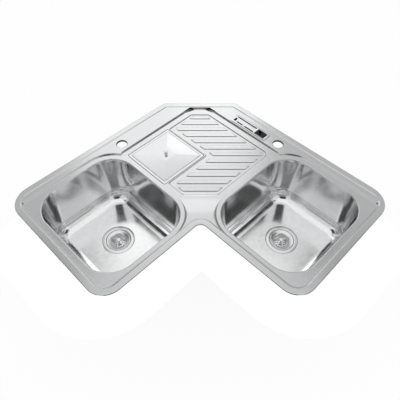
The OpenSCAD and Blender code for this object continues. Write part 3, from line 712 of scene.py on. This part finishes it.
class SINK_OT_strainers(bpy.types.Operator):
    """Turns the strainer cups, baskets and posts of the two drains"""
    bl_idname = "sink.strainers"
    bl_label = "Strainers"

    # Radius and height from the bowl's floor, from the basket's lip and from the knob's top
    cup = [(40.5, -2.2), (41.2, -0.6), (42.4, -0.05), (44.0, 0), (51.0, -0.1), (52.4, -0.5), (53.0, -1.45),
           (43.0, -1.5), (43.0, -41.9), (23.5, -42.0), (23.5, -62.0), (18.0, -62.0), (18.0, -39.0), (38.5, -39.0),
           (40.5, -37.0)]
    basket = [(3.0, -27), (24.0, -27), (26.0, -25), (26.0, -7.5), (28.0, -5.2), (37.5, -1.6), (39.5, -1.2),
              (39.5, -0.2), (38.6, 0), (37.4, -0.3), (29.0, -3.2), (27.0, -4.2), (25.4, -6.2), (25.0, -9),
              (25.0, -18), (22.0, -20), (10.0, -18), (3.0, -17.5)]
    post = [(0.0, -34.8), (3.0, -34.8), (3.0, -5.4), (4.2, -4.8), (6.9, -4.4), (7.5, -3.6), (7.5, -1.4),
            (6.9, -0.5), (5.0, -0.1), (0.0, 0)]
    lip_level = FLOOR - 1.0
    knob_level = FLOOR + 2.0
    # Holes in the basket's floor: how many, and the radius of their ring
    hole_rings = ((12, 17.0), (8, 11.0))
    hole_radius = 2
    drill_bottom = FLOOR - 31.0
    drill_length = 16

    def drill(self, basket, centre):
        cutters = []
        for count, radius in self.hole_rings:
            for i in range(count):
                a = 2 * math.pi * i / count
                clean_start()
                bpy.ops.mesh.primitive_cylinder_add(
                    vertices=12, radius=self.hole_radius * MM, depth=self.drill_length * MM,
                    location=(centre.x + radius * math.cos(a) * MM, centre.y + radius * math.sin(a) * MM,
                              (self.drill_bottom + self.drill_length / 2) * MM))
                cutters.append(bpy.context.object)
        cutter = join("basket drill", cutters)
        apply_modifier(basket, "BOOLEAN", operation="DIFFERENCE", solver="EXACT", object=cutter)
        bpy.data.objects.remove(cutter)

    def execute(self, context):
        bright = steel("bright strainer steel", context.scene.sink_finishes.bright_color, 0.3,
                       grain=(300, 300, 300), bump=0.02)

        def finish(piece, body, node):
            smooth(piece, SMOOTH_TURNED)
            dress(piece, bright)
            finish_piece(piece, body, node)

        def raised(profile, level):
            return [(r, level + z) for r, z in profile]

        for side in SIDES:
            centre = drain_centre(side)
            cup = turned(side + "_strainer", raised(self.cup, FLOOR), centre)
            finish(cup, "sink", side + "_strainer_cup")
            basket = turned(side + "_basket_bowl", raised(self.basket, self.lip_level), centre)
            self.drill(basket, centre)
            finish(basket, side + "_basket", side + "_basket")
            post = turned(side + "_basket_knob", raised(self.post, self.knob_level), centre, steps=48,
                          closed=False)
            finish(post, side + "_basket", side + "_basket_post")
        return {"FINISHED"}


class SINK_OT_bin_lid(bpy.types.Operator):
    """Folds the lid of the waste bin and turns its knob"""
    bl_idname = "sink.bin_lid"
    bl_label = "Bin Lid"

    thickness = 0.0012
    border_level = SEAT + 3.9
    peak_level = border_level + 7.0
    # Side, height from the border's level and corner radius of each loop, from the rolled edge to the flat square
    lid = [(178.0, -1.3, 4), (178.0, -0.5, 4), (177.2, 0, 4), (163.6, 0, 2.5), (163.0, -0.5, 2.3), (162.2, -0.6, 2.1),
           (161.4, -0.4, 1.9), (160.0, 0.6, 1.6), (159.0, 0.9, 1.4), (48.0, 6.95, 0.5), (46.0, 7.0, 0.5)]
    # Radius and height from the flat square
    knob = [(0.0, 0), (4.6, 0), (5.3, 0.5), (5.4, 1.2), (4.2, 2.2), (3.5, 4.0), (3.6, 6.0), (4.6, 8.0), (5.4, 9.6),
            (5.4, 11.0), (4.8, 12.2), (3.4, 12.9), (0.0, 13.0)]

    def execute(self, context):
        finishes = context.scene.sink_finishes
        loops = [[place(x, y, self.border_level + z) for x, y in box_outline(*SEAT_CENTRE, side, side, r, steps=2)]
                 for side, z, r in self.lid]
        lid = loops_piece("waste_lid", loops, {"top": -1})
        fill_groups(lid, ("top",))
        face_up(lid)
        thicken(lid, self.thickness)
        smooth(lid, SMOOTH_FOLDED)
        dress(lid, steel("satin lid steel", finishes.lid_color, finishes.sheet_rough - 0.04, grain=(30, 700, 700)))
        finish_piece(lid, "bin_lid", "bin_lid")
        knob = turned("waste_lid_knob", [(r, self.peak_level + z) for r, z in self.knob], place(*SEAT_CENTRE),
                      steps=48, closed=False)
        smooth(knob, SMOOTH_TURNED)
        dress(knob, steel("bright knob steel", finishes.bright_color, 0.12, bump=0.02))
        finish_piece(knob, "bin_lid", "lid_knob")
        return {"FINISHED"}


class SINK_OT_knife_rack(bpy.types.Operator):
    """Rounds and finishes the knife rack's plate, comb and box"""
    bl_idname = "sink.knife_rack"
    bl_label = "Knife Rack"

    # Faces that meet at less than the first angle become one, and edges above the second are rounded
    flat_angle = math.radians(1)
    edge_angle = math.radians(30)

    def rounded_copy(self, name, node, width):
        """A merged copy of a CAD node with its edges rounded."""
        clean_start()
        obj = bpy.data.objects.new(name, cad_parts[node].data.copy())
        bpy.context.scene.collection.objects.link(obj)
        activate(obj)
        bpy.ops.object.mode_set(mode="EDIT")
        bpy.ops.mesh.select_all(action="SELECT")
        bpy.ops.mesh.remove_doubles(threshold=MERGE_DISTANCE)
        bpy.ops.mesh.dissolve_limited(angle_limit=self.flat_angle)
        bpy.ops.object.mode_set(mode="OBJECT")
        apply_modifier(obj, "BEVEL", width=width, segments=3, limit_method="ANGLE", angle_limit=self.edge_angle,
                       use_clamp_overlap=True)
        smooth(obj, SMOOTH_ROUNDED)
        return obj

    def execute(self, context):
        plate = steel("rack plate steel", context.scene.sink_finishes.sheet_color, 0.2, grain=(30, 700, 700),
                      bump=0.05)
        black = moulded("black rack plastic", (0.03, 0.03, 0.032), 0.5)
        for part, width, material, slot in (("plate", 0.0004, plate, "bright_steel"),
                                            ("comb", 0.0004, black, "black_plastic"),
                                            ("box", 0.0005, black, "black_plastic")):
            piece = self.rounded_copy("knife_rack_" + part, "rack_" + part, width)
            dress(piece, material)
            finish_piece(piece, "knife_rack", "rack_" + part)
        return {"FINISHED"}


class SINK_OT_under_parts(bpy.types.Operator):
    """Finishes the pieces below the sink"""
    bl_idname = "sink.under_parts"
    bl_label = "Parts Below"

    edge_width = 0.0004
    edge_angle = math.radians(35)

    def execute(self, context):
        rubber = moulded("dark rubber", (0.03, 0.03, 0.033), 0.75)
        foam = moulded("seal foam", (0.06, 0.06, 0.065), 0.9)
        white = moulded("white waste plastic", (0.80, 0.80, 0.77), 0.35)
        grey = moulded("grey plastic", (0.32, 0.33, 0.35), 0.45)
        zinc = steel("plated clip steel", (0.62, 0.63, 0.65), 0.3, grain=(200, 200, 200), bump=0.1)
        materials = {
            "rim_seal": foam, "tap_backing_plates": rubber, "waste_bin": grey,
            "clip_nut_blocks": zinc, "clip_claws": zinc, "clip_screws": zinc, "lid_screw": zinc,
        }
        drain_parts = {
            "sound_pad": rubber, "flange_gasket": rubber, "washer": rubber, "tail_gasket": rubber,
            "stopper": rubber, "friction_ring": grey, "lock_nut": white, "tailpiece": white, "union_nut": white,
        }
        for side in SIDES:
            materials.update({side + "_" + part: material for part, material in drain_parts.items()})
        for node, material in materials.items():
            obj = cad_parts[node]
            dress(obj, material)
            add_modifier(obj, "WELD", merge_threshold=MERGE_DISTANCE)
            add_modifier(obj, "BEVEL", width=self.edge_width, segments=2, limit_method="ANGLE",
                         angle_limit=self.edge_angle)
        return {"FINISHED"}


# Stage

# Cards that the steel reflects: name, azimuth and elevation of their edges, grey level, and distance in metres.
# Azimuth 0 is behind the sink.
CARDS = (
    ("left dark card", (-108, -66), (33, 58), 0.04, 3.0),
    ("right dark card", (66, 108), (33, 58), 0.04, 3.0),
    ("front dark card", (153, 207), (44, 66), 0.03, 3.0),
    ("front low card", (153, 207), (4, 44), 0.3, 3.0),
    ("front left card", (207, 242), (4, 57), 0.75, 3.2),
    ("front right card", (118, 153), (4, 57), 0.75, 3.2),
    ("back left card", (-74, -30), (24, 57), 0.75, 3.2),
    ("back right card", (15, 74), (24, 57), 0.75, 3.2),
    ("back left shade", (-66, -38), (50, 60), 0.45, 3.1),
    ("back right shade", (38, 66), (50, 60), 0.45, 3.1),
    ("back upper card", (-30, 15), (50, 58), 1.15, 3.2),
    ("back bright card", (-30, 15), (24, 50), 1.45, 3.25),
    ("back bright spot", (-5, 14), (28, 38), 1.8, 3.15),
    ("low back card", (-74, 74), (0, 24), 0.3, 3.0),
)
CARDS_MIDDLE = -0.4

COLLAR_LEVEL = 0.2
COLLAR_WIDTH = 130.0
COLLAR_RISE = math.radians(20)
# Points at either end of the rim's outline that lie on its back edges
BACK_POINTS = 29

BOARD_REACH = ARM + 120
BOARD_LEVEL = -0.6

SENSOR_WIDTH = 36
FLOOR_GLOW = 1.05
FLOOR_GLOW_SHARE = 0.86
WORLD_LIGHT = 0.7


def finish_stage_piece(obj, material, by_camera):
    """A stage piece is seen either by the camera or in reflections, and changes nothing else."""
    dress(obj, material)
    obj.visible_camera = by_camera
    obj.visible_glossy = not by_camera
    obj.visible_diffuse = False
    obj.visible_shadow = False
    obj.visible_transmission = False


def card(name, azimuth, elevation, level, distance):
    """A studio card on a sphere round the sink."""
    clean_start()
    bpy.ops.mesh.primitive_grid_add(x_subdivisions=24, y_subdivisions=12, size=2)
    obj = bpy.context.object
    obj.name = name
    for v in obj.data.vertices:
        az = math.radians(azimuth[0] + (azimuth[1] - azimuth[0]) * (v.co.x + 1) / 2)
        el = math.radians(elevation[0] + (elevation[1] - elevation[0]) * (v.co.y + 1) / 2)
        v.co = Vector((math.sin(az) * math.cos(el), CARDS_MIDDLE / distance + math.cos(az) * math.cos(el),
                       math.sin(el))) * distance
    finish_stage_piece(obj, glowing(name, level), False)


def dark_boards():
    """Dark boards just outside the front of the rim, which its turned-down edge reflects."""
    mat, _, _, shader = new_material("dark board")
    shader.inputs["Base Color"].default_value = (0.02, 0.02, 0.02, 1)
    shader.inputs["Roughness"].default_value = 0.9
    inner, far = DEPTH - 14, BOARD_REACH
    notch = [(inner, inner), (inner, far), (far, far), (far, inner)]
    end = [(ARM - 7, -20), (ARM - 7, DEPTH + 20), (far, DEPTH + 20), (far, -20)]
    for name, corners in (("notch", notch), ("left end", end), ("right end", across(end))):
        clean_start()
        bpy.ops.mesh.primitive_plane_add(size=1)
        obj = bpy.context.object
        obj.name = name + " dark board"
        around = sorted(obj.data.vertices, key=lambda v: math.atan2(v.co.y, v.co.x))
        for v, (x, y) in zip(around, corners):
            v.co = place(x, y, BOARD_LEVEL)
        finish_stage_piece(obj, mat, False)


def white_collar():
    """A white collar that rises outwards from the front of the rim and hides what hangs below from high views."""
    loops = [[place(x, y, COLLAR_LEVEL + d * math.tan(COLLAR_RISE)) for x, y in rim_outline(-d)]
             for d in (0.0, COLLAR_WIDTH)]
    count = len(loops[0])
    obj = loops_piece("white collar", loops)
    vertex_mode("DESELECT")
    bpy.ops.object.mode_set(mode="OBJECT")
    for v in obj.data.vertices:
        v.select = v.index % count not in range(BACK_POINTS, count - BACK_POINTS)
    bpy.ops.object.mode_set(mode="EDIT")
    bpy.ops.mesh.delete(type="VERT")
    bpy.ops.object.mode_set(mode="OBJECT")
    finish_stage_piece(obj, glowing("white collar", 1), True)


def add_camera(stage):
    yaw, pitch, roll = stage.camera_yaw, stage.camera_pitch, stage.camera_roll
    ahead = Vector((math.sin(yaw) * math.cos(pitch), math.cos(yaw) * math.cos(pitch), -math.sin(pitch)))
    level = Vector((math.cos(yaw), -math.sin(yaw), 0))
    above = level.cross(ahead)
    right = math.cos(roll) * level + math.sin(roll) * above
    up = -math.sin(roll) * level + math.cos(roll) * above
    clean_start()
    bpy.ops.object.camera_add()
    camera = bpy.context.object
    camera.data.lens = stage.lens
    camera.data.sensor_width = SENSOR_WIDTH
    turn = Matrix((right, up, -ahead)).transposed().to_4x4()
    camera.matrix_world = Matrix.Translation(stage.camera_place) @ turn
    bpy.context.scene.camera = camera


def background_rays(nodes, links):
    """One for rays of the camera, of reflections and through clear pieces, and zero for the light itself."""
    path = nodes.new("ShaderNodeLightPath")
    seen = path.outputs["Is Camera Ray"]
    for ray in ("Is Glossy Ray", "Is Transmission Ray"):
        either = nodes.new("ShaderNodeMath")
        either.operation = "MAXIMUM"
        links.new(seen, either.inputs[0])
        links.new(path.outputs[ray], either.inputs[1])
        seen = either.outputs["Value"]
    return seen


def add_floor(stage):
    """A pale floor that shows the object's shadow on a nearly white ground."""
    clean_start()
    bpy.ops.mesh.primitive_plane_add(size=30, location=(0, -0.3, CAD_BOX[0][2] - stage.floor_drop))
    floor = bpy.context.object
    floor.name = "floor"
    mat, nodes, links, shader = new_material("pale floor")
    shader.inputs["Base Color"].default_value = (0.9, 0.9, 0.9, 1)
    shader.inputs["Roughness"].default_value = 0.9
    glow = nodes.new("ShaderNodeEmission")
    glow.inputs["Strength"].default_value = FLOOR_GLOW
    part = nodes.new("ShaderNodeMath")
    part.operation = "MULTIPLY"
    part.inputs[1].default_value = FLOOR_GLOW_SHARE
    links.new(background_rays(nodes, links), part.inputs[0])
    mix = nodes.new("ShaderNodeMixShader")
    links.new(part.outputs["Value"], mix.inputs["Fac"])
    links.new(shader.outputs["BSDF"], mix.inputs[1])
    links.new(glow.outputs["Emission"], mix.inputs[2])
    links.new(mix.outputs["Shader"], nodes["Material Output"].inputs["Surface"])
    dress(floor, mat)


def add_world():
    world = bpy.data.worlds.new("studio")
    bpy.context.scene.world = world
    world.use_nodes = True
    nodes, links = world.node_tree.nodes, world.node_tree.links
    background = nodes["Background"]
    background.inputs["Color"].default_value = (1, 1, 1, 1)
    strength = nodes.new("ShaderNodeMapRange")
    strength.inputs["To Min"].default_value = WORLD_LIGHT
    strength.inputs["To Max"].default_value = 1.0
    links.new(background_rays(nodes, links), strength.inputs["Value"])
    links.new(strength.outputs["Result"], background.inputs["Strength"])


class SINK_OT_stage(bpy.types.Operator):
    """Sets up the floor, the light and the camera"""
    bl_idname = "sink.stage"
    bl_label = "Stage"

    def execute(self, context):
        stage = context.scene.sink_stage
        add_camera(stage)
        dark_boards()
        white_collar()
        for settings in CARDS:
            card(*settings)
        add_floor(stage)
        add_world()
        context.scene.view_settings.view_transform = "Standard"
        return {"FINISHED"}


class SINK_PT_panel(bpy.types.Panel):
    bl_label = "Corner Sink"
    bl_idname = "SINK_PT_panel"
    bl_space_type = "VIEW_3D"
    bl_region_type = "UI"
    bl_category = "Sink"

    def draw(self, context):
        layout = self.layout
        for group in (context.scene.sink_sizes, context.scene.sink_finishes, context.scene.sink_stage):
            box = layout.box()
            for key in group.__annotations__:
                box.prop(group, key)
        for operator in OPERATORS:
            layout.operator(operator.bl_idname)


OPERATORS = (SINK_OT_sheet, SINK_OT_basins, SINK_OT_strainers, SINK_OT_bin_lid, SINK_OT_knife_rack,
             SINK_OT_under_parts, SINK_OT_stage)
CLASSES = (SinkSizes, SinkFinishes, SinkStage) + OPERATORS + (SINK_PT_panel,)


def register():
    for cls in CLASSES:
        bpy.utils.register_class(cls)
    bpy.types.Scene.sink_sizes = PointerProperty(type=SinkSizes)
    bpy.types.Scene.sink_finishes = PointerProperty(type=SinkFinishes)
    bpy.types.Scene.sink_stage = PointerProperty(type=SinkStage)


def unregister():
    del bpy.types.Scene.sink_stage
    del bpy.types.Scene.sink_finishes
    del bpy.types.Scene.sink_sizes
    for cls in reversed(CLASSES):
        bpy.utils.unregister_class(cls)


def main():
    register()
    bpy.ops.sink.sheet()
    bpy.ops.sink.basins()
    bpy.ops.sink.strainers()
    bpy.ops.sink.bin_lid()
    bpy.ops.sink.knife_rack()
    bpy.ops.sink.under_parts()
    bpy.ops.sink.stage()


if __name__ == "__main__":
    main()
